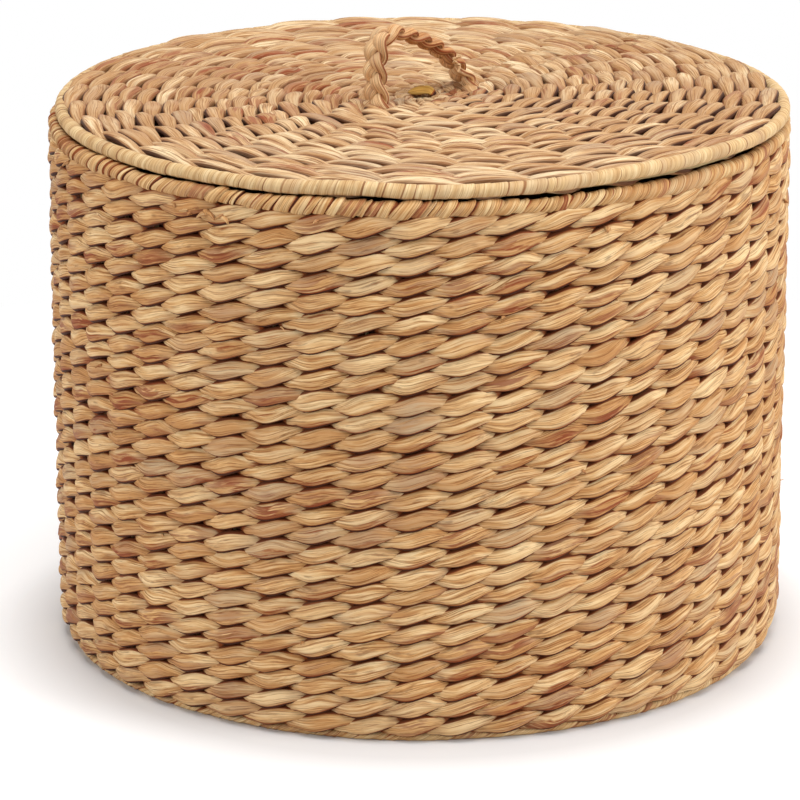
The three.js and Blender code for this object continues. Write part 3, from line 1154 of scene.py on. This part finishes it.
@dataclass
class Bindings:
    """The three wrapped rings: round the rim, round the lid's edge and along the foot.

    The lid's edge is bent up a little at two places, which leaves gaps over the rim.
    """

    rim_half_height: float = 5.1 * MM
    foot_overlap: float = 0.6 * MM
    lid_bends: tuple[tuple[float, float, float], ...] = (
        (math.radians(214), 0.13, 1.8 * MM),
        (math.radians(267), 0.44, 4.0 * MM),
    )

    def rim(self) -> WrappedRing:
        """Wind steep, dark-edged turns round the rim.

        Returns:
            The ring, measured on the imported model.
        """
        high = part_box("rim_binding")[1]
        return WrappedRing(
            name="rim_wrapping",
            body=Body.BASKET,
            node="rim_binding",
            circle=high.x - RIM_HALF_WIDTH,
            middle_height=high.z - RIM_HALF_WIDTH,
            half_width=RIM_HALF_WIDTH,
            half_height=self.rim_half_height,
            turn_width=8.5 * MM,
            slope=0.42,
            lift=0.18,
            redness=1.4,
            lightness=-0.34,
            edge_painted_shade=1.0,
            seed=21,
        )

    def lid_edge(self) -> WrappedRing:
        """Wind smooth, nearly upright turns round the lid's edge.

        Returns:
            The ring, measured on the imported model.
        """
        low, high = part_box("lid_binding")
        half = (high.z - low.z) / 2
        return WrappedRing(
            name="lid_edge_wrapping",
            body=Body.LID,
            node="lid_binding",
            circle=(high.x - low.x) / 2 - half,
            middle_height=(high.z + low.z) / 2,
            half_width=half,
            half_height=half,
            centre=((low.x + high.x) / 2, (low.y + high.y) / 2),
            turn_width=10 * MM,
            slope=0.14,
            lift=0.06,
            redness=0.5,
            lightness=0.0,
            edge_painted_shade=0.72,
            bends=self.lid_bends,
            seed=22,
        )

    def foot(self) -> WrappedRing:
        """Wind broad turns along the foot, flat where they meet the floor.

        Returns:
            The ring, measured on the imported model.
        """
        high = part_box("foot_binding")[1]
        return WrappedRing(
            name="foot_wrapping",
            body=Body.BASKET,
            node="foot_binding",
            circle=high.x - FOOT_HALF_WIDTH,
            middle_height=high.z / 2,
            half_width=FOOT_HALF_WIDTH,
            half_height=high.z / 2 + self.foot_overlap,
            turn_width=11 * MM,
            slope=0.4,
            lift=0.12,
            redness=1.3,
            lightness=0.0,
            edge_painted_shade=0.7,
            seed=23,
            floor=0.0,
        )

    def build(self, strip: Material, edging: Material) -> None:
        """Make the three rings and seat them.

        Args:
            strip: the finish of the rim and the foot.
            edging: the finish of the lid's edge.
        """
        self.rim().build(strip)
        self.lid_edge().build(edging)
        self.foot().build(strip)


# Handle, leaf and loose ends


def eased_path(points: np.ndarray, count: int, cuts: int = 24) -> np.ndarray:
    """Carry a smooth curve through points, evenly spaced along its length.

    Between two points the curve is the cubic whose end slopes are half the difference of
    the neighbours on either side.

    Args:
        points: the points to pass through.
        count: the number of points wanted.
        cuts: the number of steps between two of the given points, before they are spaced.

    Returns:
        The evenly spaced points.
    """
    ends = np.vstack([2 * points[0] - points[1], points, 2 * points[-1] - points[-2]])
    share = np.linspace(0, 1, cuts, endpoint=False)[:, None]
    fine = []
    for index in range(1, len(ends) - 2):
        before, start, end, after = ends[index - 1 : index + 3]
        fine.append(
            (2 * share**3 - 3 * share**2 + 1) * start
            + (share**3 - 2 * share**2 + share) * (end - before) / 2
            + (3 * share**2 - 2 * share**3) * end
            + (share**3 - share**2) * (after - start) / 2
        )
    line = np.vstack([*fine, points[-1:]])
    steps = np.linalg.norm(np.diff(line, axis=0), axis=1)
    length = np.concatenate([[0.0], np.cumsum(steps)])
    wanted = np.linspace(0, length[-1], count)
    return stacked(*(np.interp(wanted, length, line[:, axis]) for axis in range(3)))


def tube(path: np.ndarray, wide: np.ndarray, thick: np.ndarray, face: np.ndarray, sides: int) -> np.ndarray:
    """Sweep an ellipse along a path, its flat side turned to a given direction.

    Args:
        path: the middle of the tube, one point to a row.
        wide: half the width, one row of values to a point of the path.
        thick: half the thickness, likewise.
        face: the direction that the flat side looks in, one for each point or one for all.
        sides: the number of points round the ellipse.

    Returns:
        The grid of points.
    """
    heading = np.gradient(path, axis=0)
    heading /= np.linalg.norm(heading, axis=1)[:, None]
    over = face - heading * (face * heading).sum(axis=1)[:, None]
    over /= np.linalg.norm(over, axis=1)[:, None]
    across = np.cross(heading, over)
    around = np.arange(sides) * TAU / sides
    up = (thick * np.cos(around))[..., None]
    aside = (wide * np.sin(around))[..., None]
    return path[:, None] + over[:, None] * up + across[:, None] * aside


@dataclass
class StartLeaf:
    """The folded leaf whose tip shows where the lid's weave starts.

    A blade along a shallow arch: pointed at one end, and going down into the hollow at the
    middle of the weave at the other. Its width follows 4 * s * (pointed - s) to a power, with
    s the share of its length.
    """

    length: float = 19 * MM
    half_width: float = 3.6 * MM
    half_thickness: float = 1.5 * MM
    turned: float = VIEW_AZIMUTH
    face: tuple[float, float, float] = (-0.36, -0.35, 0.87)
    arch: float = 1.6 * MM
    dip: float = 2.2
    dip_start: float = 0.7
    pointed: float = 1.04
    least_size: float = 0.02
    size_power: float = 0.6
    folding: float = 0.2
    fold_turn: float = 5.0
    hollow_start: float = 0.74
    hollow_spread: float = 0.16
    rows: int = 40
    sides: int = 16

    def build(self, material: Material) -> None:
        """Make the blade and seat it on the lid.

        Args:
            material: the leaf's finish.
        """
        low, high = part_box("lid_centre_start")
        middle = (low + high) / 2
        share = np.linspace(0, 1, self.rows)
        along = self.length * (share - 0.5)
        dipped = self.dip * smooth_share((share - self.dip_start) / (1 - self.dip_start))
        rise = self.arch * (1 - (2 * share - 1) ** 2 - dipped)
        path = round_points(self.turned, along, middle.z + rise, (middle.x, middle.y))
        size = np.clip(4 * share * (self.pointed - share), self.least_size, 1.0) ** self.size_power
        around = np.arange(self.sides) * TAU / self.sides
        size = size[:, None] * (1 + self.folding * np.cos(3 * around + self.fold_turn * share[:, None]))
        face = np.array(self.face)
        points = tube(path, self.half_width * size, self.half_thickness * size, face, self.sides)
        grain = stacked(along[:, None], self.half_width * np.sin(around), self.half_width * np.cos(around))
        # Painted shade where the blade dips down into the middle of the weave
        hollow_shade = smooth_share((share - self.hollow_start) / self.hollow_spread)[:, None]
        blade = Surface(points, grain, np.zeros(3), hollow_shade, looped=False)
        piece = make_piece("start_leaf_tip", [blade], material)
        seat(piece, Body.LID, "start_leaf", "lid_centre_start")


@dataclass(kw_only=True)
class LooseEnds:
    """Frayed fibres and cut strand ends that stick out of the weave.

    Each is a tapered tube that leaves the surface outwards, leans along the course and
    droops by the square of the distance.
    """

    name: str
    body: Body
    slot: str
    places: np.ndarray
    headings: np.ndarray
    droop: np.ndarray
    thickness: np.ndarray
    seed: int
    darkness: float = 0.0
    least_dark: float = 0.5
    lightness: Pair = (-1.0, 0.3)
    redness: Pair = (0.0, 0.8)
    greyness: float = 0.1
    taper: float = 0.75
    flatness: float = 1.5
    face: tuple[float, float, float] = (0.3, 0.2, 0.9)
    grain_length: float = 10 * MM
    rows: int = 7
    sides: int = 7

    def build(self, material: Material) -> None:
        """Make one tube for each place and seat them as one piece.

        Args:
            material: the finish of the strands that they belong to.
        """
        source = np.random.default_rng(self.seed)
        share = np.linspace(0, 1, self.rows)[:, None]
        around = np.arange(self.sides) * TAU / self.sides
        down = np.array([0.0, 0.0, -1.0])
        ends = []
        for place, heading, droop, thickness in zip(self.places, self.headings, self.droop, self.thickness):
            path = place + heading * share + down * droop * share**2
            size = thickness * (1 - self.taper * share)
            points = tube(path, self.flatness * size, size, np.array(self.face), self.sides)
            length = share * self.grain_length + source.uniform(0, GRAIN_SHIFT)
            grain = stacked(length, thickness * np.sin(around), thickness * np.cos(around))
            tint = [source.uniform(*self.lightness), source.uniform(*self.redness), self.greyness]
            depth = self.darkness * source.uniform(self.least_dark, 1.0)
            ends.append(Surface(points, grain, tint, depth, looped=False))
        piece = make_piece(self.name, ends, material)
        seat(piece, self.body, self.slot)


@dataclass(frozen=True)
class Patch:
    """A number of loose ends within a range of angles and of heights in millimetres."""

    count: int
    angles: Pair
    levels_mm: Pair


@dataclass
class WallEnds:
    """The wall's loose ends: a cluster under the rim, some beside it, the rest anywhere.

    low_end is the angle, and the height in millimetres, of one more near the foot.
    """

    cluster: Patch = Patch(7, (FRONT - 0.7, FRONT - 0.52), (327, 331))
    beside: Patch = Patch(5, (FRONT - 1.4, FRONT - 0.2), (326, 334))
    anywhere: Patch = Patch(26, (0, TAU), (30, 330))
    low_end: Pair = (math.radians(-47), 21)
    radius: float = 238.5 * MM
    length_mm: Pair = (3.0, 7.5)
    lean: Pair = (-1.0, 1.0)
    outward_share: float = 0.6
    droop_mm: Pair = (0, 3)
    cluster_thickness_mm: Pair = (1.5, 2.1)
    thickness_mm: Pair = (0.5, 1.7)
    darkness: float = 0.4
    place_seed: int = 61
    heading_seed: int = 62
    look_seed: int = 63

    def headings(self, angles: np.ndarray) -> np.ndarray:
        """Draw where the ends point: outwards, and to one side along the course.

        Args:
            angles: the angle round the basket of each end.

        Returns:
            The headings as long as the ends, one row each.
        """
        source = np.random.default_rng(self.heading_seed)
        outward = round_points(angles, 1.0, 0.0)
        along = round_points(angles + TAU / 4, 1.0, 0.0)
        length = source.uniform(*self.length_mm, len(angles))[:, None] * MM
        lean = source.uniform(*self.lean, len(angles))[:, None]
        return length * (self.outward_share * outward + lean * along)

    def build(self, material: Material) -> None:
        """Make the ends and seat them on the basket.

        Args:
            material: the strands' finish.
        """
        source = np.random.default_rng(self.place_seed)
        patches = (self.cluster, self.beside, self.anywhere)
        spread = [source.uniform(*patch.angles, patch.count) for patch in patches]
        heights = [source.uniform(*patch.levels_mm, patch.count) for patch in patches]
        angles = np.concatenate([*spread, [self.low_end[0]]])
        levels = np.concatenate([*heights, [self.low_end[1]]]) * MM
        droop = source.uniform(*self.droop_mm, len(angles)) * MM
        thick = source.uniform(*self.cluster_thickness_mm, self.cluster.count)
        thin = source.uniform(*self.thickness_mm, len(angles) - self.cluster.count)
        LooseEnds(
            name="loose_ends_on_wall",
            body=Body.BASKET,
            slot="strands",
            places=round_points(angles, self.radius, levels),
            headings=self.headings(angles),
            droop=droop,
            thickness=np.concatenate([thick, thin]) * MM,
            darkness=self.darkness,
            seed=self.look_seed,
        ).build(material)


@dataclass
class Handle:
    """The plaited handle: three flat strands that weave over and under along an arch.

    Along the arch each strand swings aside by the sine of its phase and out of the plait's
    face by the sine of twice its phase, a third of a turn apart. The arch passes through the
    shares of the span and the rise, with a tail down through the lid at either end, and it
    leans as the real one does. The plait is broader at its roots and browner past its top,
    and a few ends fray from its far leg.
    """

    base_height: float
    centre: Pair
    span: float = HANDLE_SPAN
    rise: float = HANDLE_RISE
    tail: float = HANDLE_TAIL
    span_shares: tuple[float, ...] = (
        -0.5, -0.503, -0.517, -0.515, -0.488, -0.393, -0.274, 0.095, 0.321, 0.452, 0.497, 0.5,
    )
    rise_shares: tuple[float, ...] = (
        0, 0.166, 0.479, 0.755, 0.93, 1, 0.994, 0.755, 0.497, 0.27, 0.11, 0,
    )
    period: float = 40 * MM
    swing: float = 3.9 * MM
    lift: float = 2.5 * MM
    half_width: float = 5.1 * MM
    half_thickness: float = 2.3 * MM
    root_flare: float = 0.55
    root_length: float = 11 * MM
    fold_count: float = 2.5
    fold_sway: float = 1.1
    fold_power: float = 0.7
    fold_depth: float = 0.17
    wave: float = 0.05
    wave_pace: float = 0.7
    taper_length: float = 2 * MM
    least_size: float = 0.3
    lobes: int = 12
    brown_middle: float = 0.56
    brown_spread: float = 0.16
    lightness: Pair = (0.8, 1.3)
    brown_red: float = 0.45
    sunk_shade_ends: Pair = (0.8, 1.1)
    side_share: float = 0.8
    edge_start: float = 0.88
    edge_spread: float = 0.11
    edge_shade: float = 0.55
    rows: int = 260
    sides: int = 20
    seed: int = 5
    frayed_mm: tuple[tuple[float, float, float], ...] = (
        (22.0, -8.0, 28.0), (23.5, -8.5, 26.5), (24.5, -8.5, 24.5), (21.5, -7.5, 30.0),
    )
    fray_headings_mm: tuple[tuple[float, float, float], ...] = (
        (-5.0, -5.0, 3.0), (-3.0, -6.0, 1.5), (-5.0, -5.0, -1.0), (1.0, -6.0, 3.5),
    )
    fray_droop: float = 0.8 * MM
    fray_thickness: float = 1.3 * MM
    fray_lightness: Pair = (0.8, 1.0)
    fray_redness: Pair = (0.0, 0.1)
    fray_seed: int = 64

    def arch(self) -> np.ndarray:
        """Work out the plait's middle line, with its tails.

        Returns:
            The evenly spaced points of the line.
        """
        levels = np.array([-self.tail, *(share * self.rise for share in self.rise_shares), -self.tail])
        shares = np.array([self.span_shares[0], *self.span_shares, self.span_shares[-1]])
        route = stacked(self.centre[0] + shares * self.span, self.centre[1], self.base_height + levels)
        return eased_path(route, self.rows)

    def strand(self, number: int, arch: np.ndarray) -> Surface:
        """Make one strand of the plait.

        Args:
            number: the strand, from nought to two.
            arch: the plait's middle line.

        Returns:
            The strand's surface.
        """
        along = np.gradient(arch, axis=0)
        along /= np.linalg.norm(along, axis=1)[:, None]
        aside = np.array([0.0, 1.0, 0.0])
        outward = np.cross(aside, along)
        share = np.linspace(0, 1, self.rows)
        length = share * np.linalg.norm(np.diff(arch, axis=0), axis=1).sum()
        source = np.random.default_rng((self.seed, number))
        phase = TAU * (length / self.period + number / 3)
        from_end = np.minimum(length, length[-1] - length)
        flare = 1 + self.root_flare * bell((from_end - self.tail) / self.root_length)
        swung = aside * (self.swing * flare * np.sin(phase))[:, None]
        middle = arch + swung + outward * (self.lift * np.sin(2 * phase))[:, None]
        around = np.arange(self.sides) * TAU / self.sides
        turned = self.fold_count * around + self.fold_sway * np.sin(phase)[:, None] + number
        folds = np.abs(np.cos(turned)) ** self.fold_power - self.fold_power
        grow = 1 + self.fold_depth * folds + self.wave * np.sin(phase * self.wave_pace + number)[:, None]
        taper = np.clip(from_end / self.taper_length, self.least_size, 1.0)
        size = grow * (taper * flare)[:, None]
        points = tube(middle, self.half_width * size, self.half_thickness * size, outward, self.sides)
        started = length[:, None] + source.uniform(0, GRAIN_SHIFT)
        grain = stacked(started, 2 * self.half_width * np.sin(around), 2 * self.half_width * np.cos(around))
        colours = along_lobes(LobeColours().draw(source, self.lobes), length / self.period * 2)
        browned = bell((share - self.brown_middle) / self.brown_spread)
        light = np.clip(colours[:, 0] + self.lightness[0] - self.lightness[1] * browned, -1.0, 1.0)
        red = np.clip(colours[:, 1] + self.brown_red * browned, 0.0, 1.0)
        tint = stacked(light, red, colours[:, 2])[:, None]
        # Painted shade: darker where a strand lies deep in the plait, under the others, and along its sides
        offset = points - arch[:, None]
        reach = np.abs(offset @ aside) / (self.swing + self.half_width)
        face = np.abs((offset * outward[:, None]).sum(axis=-1)) / (self.lift + self.half_thickness)
        outer = np.maximum(face, reach * self.side_share)
        sunk_shade = np.clip(self.sunk_shade_ends[0] - self.sunk_shade_ends[1] * outer, 0.0, 1.0)
        edge = smooth_share((np.abs(np.sin(around)) - self.edge_start) / self.edge_spread)
        depth = np.maximum(sunk_shade, self.edge_shade * edge)
        return Surface(points, grain, tint, depth, looped=False)

    def build(self, material: Material) -> None:
        """Make the three strands and the frayed ends, and seat them on the lid.

        Args:
            material: the plait's finish.
        """
        arch = self.arch()
        for number, letter in enumerate("abc"):
            piece = make_piece(f"handle_plait_{letter}", [self.strand(number, arch)], material)
            seat(piece, Body.LID, "plait", f"handle_strand_{letter}")
        count = len(self.frayed_mm)
        LooseEnds(
            name="loose_ends_on_handle",
            body=Body.LID,
            slot="plait",
            places=np.array(self.frayed_mm) * MM + np.array([*self.centre, self.base_height]),
            headings=np.array(self.fray_headings_mm) * MM,
            droop=np.full(count, self.fray_droop),
            thickness=np.full(count, self.fray_thickness),
            lightness=self.fray_lightness,
            redness=self.fray_redness,
            seed=self.fray_seed,
        ).build(material)


# Camera, floor and light


@dataclass(frozen=True)
class Lamp:
    """A square lamp: metres to the camera's right, towards it and up, its side and its watts."""

    name: str
    right: float
    front: float
    height: float
    size: float
    power: float


@dataclass
class Studio:
    """The photograph's view: a long lens from the front, a white floor and soft light.

    The floor is a dull white that the camera also sees glow, less close to the basket, where
    the shadow lies. Far from the basket it is plain white.
    """

    azimuth: float = VIEW_AZIMUTH
    elevation: float = 0.3051
    distance: float = 2805.6 * MM
    aim_right: float = -12.3 * MM
    aim_height: float = 148.2 * MM
    sensor: float = 36.0
    focal_share: float = 4243 / 800
    clip_end: float = 100.0
    floor_size: float = 30.0
    floor_colour: str = "#dddbda"
    floor_glow: float = 0.38
    glow_forward: float = 0.035
    glow_ends: Pair = (0.225, 0.29)
    shadow_ends: Pair = (0.42, 0.84)
    room_light: float = 0.31
    lamp_aim: float = 0.2
    lamps: tuple[Lamp, ...] = (
        Lamp("overhead", right=0.2, front=0.35, height=2.6, size=2.2, power=72),
        Lamp("right_front", right=2.8, front=1.0, height=1.0, size=1.3, power=57),
        Lamp("left_fill", right=-2.5, front=1.2, height=1.0, size=1.6, power=33),
    )

    def axes(self) -> tuple[Vector, Vector]:
        """Work out the directions that the studio is laid out in.

        Returns:
            The camera's right, and the level direction back towards the camera.
        """
        right = Vector((math.cos(self.azimuth), math.sin(self.azimuth), 0))
        back = Vector((math.sin(self.azimuth), -math.cos(self.azimuth), 0))
        return right, back

    def stand(self, name: str, data: bpy.types.ID, place: Vector, away: Vector) -> bpy.types.Object:
        """Stand a camera or lamp at a place.

        Args:
            name: the object's name.
            data: the camera or lamp.
            place: where it stands.
            away: the direction that its back looks in.

        Returns:
            The new object.
        """
        new = bpy.data.objects.new(name, data)
        new.location = place
        new.rotation_mode = "QUATERNION"
        new.rotation_quaternion = away.to_track_quat("Z", "Y")
        bpy.context.scene.collection.objects.link(new)
        return new

    def camera(self) -> None:
        """Place the camera, looking down on the lid at the photograph's angle."""
        right, back = self.axes()
        aim = right * self.aim_right + Vector((0, 0, self.aim_height))
        away = back * math.cos(self.elevation) + Vector((0, 0, math.sin(self.elevation)))
        data = bpy.data.cameras.new("camera")
        data.lens = self.sensor * self.focal_share
        data.sensor_width = self.sensor
        data.clip_end = self.clip_end
        bpy.context.scene.camera = self.stand("camera", data, aim + away * self.distance, away)

    def light(self) -> None:
        """Add the lamps, each facing the basket."""
        right, back = self.axes()
        for lamp in self.lamps:
            data = bpy.data.lights.new(lamp.name, "AREA")
            data.size = lamp.size
            data.energy = lamp.power
            place = right * lamp.right + back * lamp.front + Vector((0, 0, lamp.height))
            self.stand(lamp.name, data, place, place - Vector((0, 0, self.lamp_aim)))

    def plain_sight(self, tree: Tree) -> Socket:
        """Tell whether the camera, gloss or glass sees the surface.

        Args:
            tree: the node tree of the surface or the room.

        Returns:
            A socket that is one where it is seen so.
        """
        rays = add_node(tree, "ShaderNodeLightPath").node.outputs
        seen = rays["Is Camera Ray"]
        for kind in ("Is Glossy Ray", "Is Transmission Ray"):
            seen = add_node(tree, "ShaderNodeMath", (seen, rays[kind]), operation="MAXIMUM")
        return seen

    def floor(self) -> None:
        """Lay the white floor, which the camera sees at its full whiteness."""
        half = self.floor_size / 2
        corners = [(-half, -half, 0), (half, -half, 0), (half, half, 0), (-half, half, 0)]
        mesh = bpy.data.meshes.new("floor")
        mesh.from_pydata(corners, [], [(0, 1, 2, 3)])
        floor = bpy.data.objects.new("floor", mesh)
        bpy.context.scene.collection.objects.link(floor)
        material = bpy.data.materials.new("white_studio_floor")
        tree = blank_tree(material)
        seen = self.plain_sight(tree)
        place = add_node(tree, "ShaderNodeTexCoord", (), "Object")
        forward = self.axes()[1] * self.glow_forward
        away = add_node(tree, "ShaderNodeVectorMath", (place, forward), "Value", operation="DISTANCE")
        faint = add_node(tree, "ShaderNodeMapRange", (away, *self.glow_ends, 0.0, self.floor_glow))
        glow = add_node(tree, "ShaderNodeMath", (seen, faint), operation="MULTIPLY")
        dull = add_node(tree, "ShaderNodeBsdfDiffuse", {"Color": linear(self.floor_colour)})
        light = add_node(tree, "ShaderNodeEmission", {"Strength": glow})
        both = add_node(tree, "ShaderNodeAddShader", (dull, light))
        reach = add_node(tree, "ShaderNodeMapRange", (away, *self.shadow_ends, 0.0, 1.0))
        far = add_node(tree, "ShaderNodeMath", (seen, reach), operation="MULTIPLY")
        white = add_node(tree, "ShaderNodeEmission", {"Strength": 1.0})
        whole = add_node(tree, "ShaderNodeMixShader", (far, both, white))
        add_node(tree, "ShaderNodeOutputMaterial", (whole,))
        mesh.materials.append(material)

    def world(self) -> None:
        """Light the room evenly; the camera, gloss and glass see plain white behind."""
        world = bpy.data.worlds.new("room")
        bpy.context.scene.world = world
        tree = blank_tree(world)
        seen = self.plain_sight(tree)
        strength = add_node(tree, "ShaderNodeMapRange", (seen, 0.0, 1.0, self.room_light, 1.0))
        inputs = {"Color": linear("#ffffff"), "Strength": strength}
        add_node(tree, "ShaderNodeOutputWorld", (add_node(tree, "ShaderNodeBackground", inputs),))

    def build(self) -> None:
        """Set up the view, the floor and the light."""
        bpy.context.scene.view_settings.view_transform = "Standard"
        self.camera()
        self.floor()
        self.world()
        self.light()


def main() -> None:
    """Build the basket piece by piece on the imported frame."""
    logging.basicConfig(level=logging.INFO, format="%(name)s: %(message)s")
    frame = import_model()
    strands = WALL_STRANDS.build()
    strip = FLAT_STRIP.build()
    leaf = OLIVE_LEAF.build()
    sticks = StickFinish().build()
    for node in ("body_frame", "lid_frame", "handle_collar_front", "handle_collar_back", "lid_centre_start"):
        materials = frame["nodes"][node].data.materials
        materials.clear()
        materials.append(leaf if node == "lid_centre_start" else sticks)

    Wall().build(strands)
    Bindings().build(strip, EDGE_STRIP.build())
    edge_low, edge_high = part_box("lid_binding")
    centre = ((edge_low.x + edge_high.x) / 2, (edge_low.y + edge_high.y) / 2)
    frame_low, frame_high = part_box("lid_frame")
    LidWeave(middle_height=(frame_low.z + frame_high.z) / 2, centre=centre).build(LID_STRANDS.build())
    base_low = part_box("base_lower_weave")[0]
    base_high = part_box("base_upper_weave")[1]
    BaseWeave(middle_height=(base_low.z + base_high.z) / 2).build(SHADED_INSIDE_STRANDS.build())
    Handle(base_height=edge_low.z, centre=centre).build(PLAIT.build())
    StartLeaf().build(leaf)
    WallEnds().build(strands)

    Studio().build()


if __name__ == "__main__":
    main()
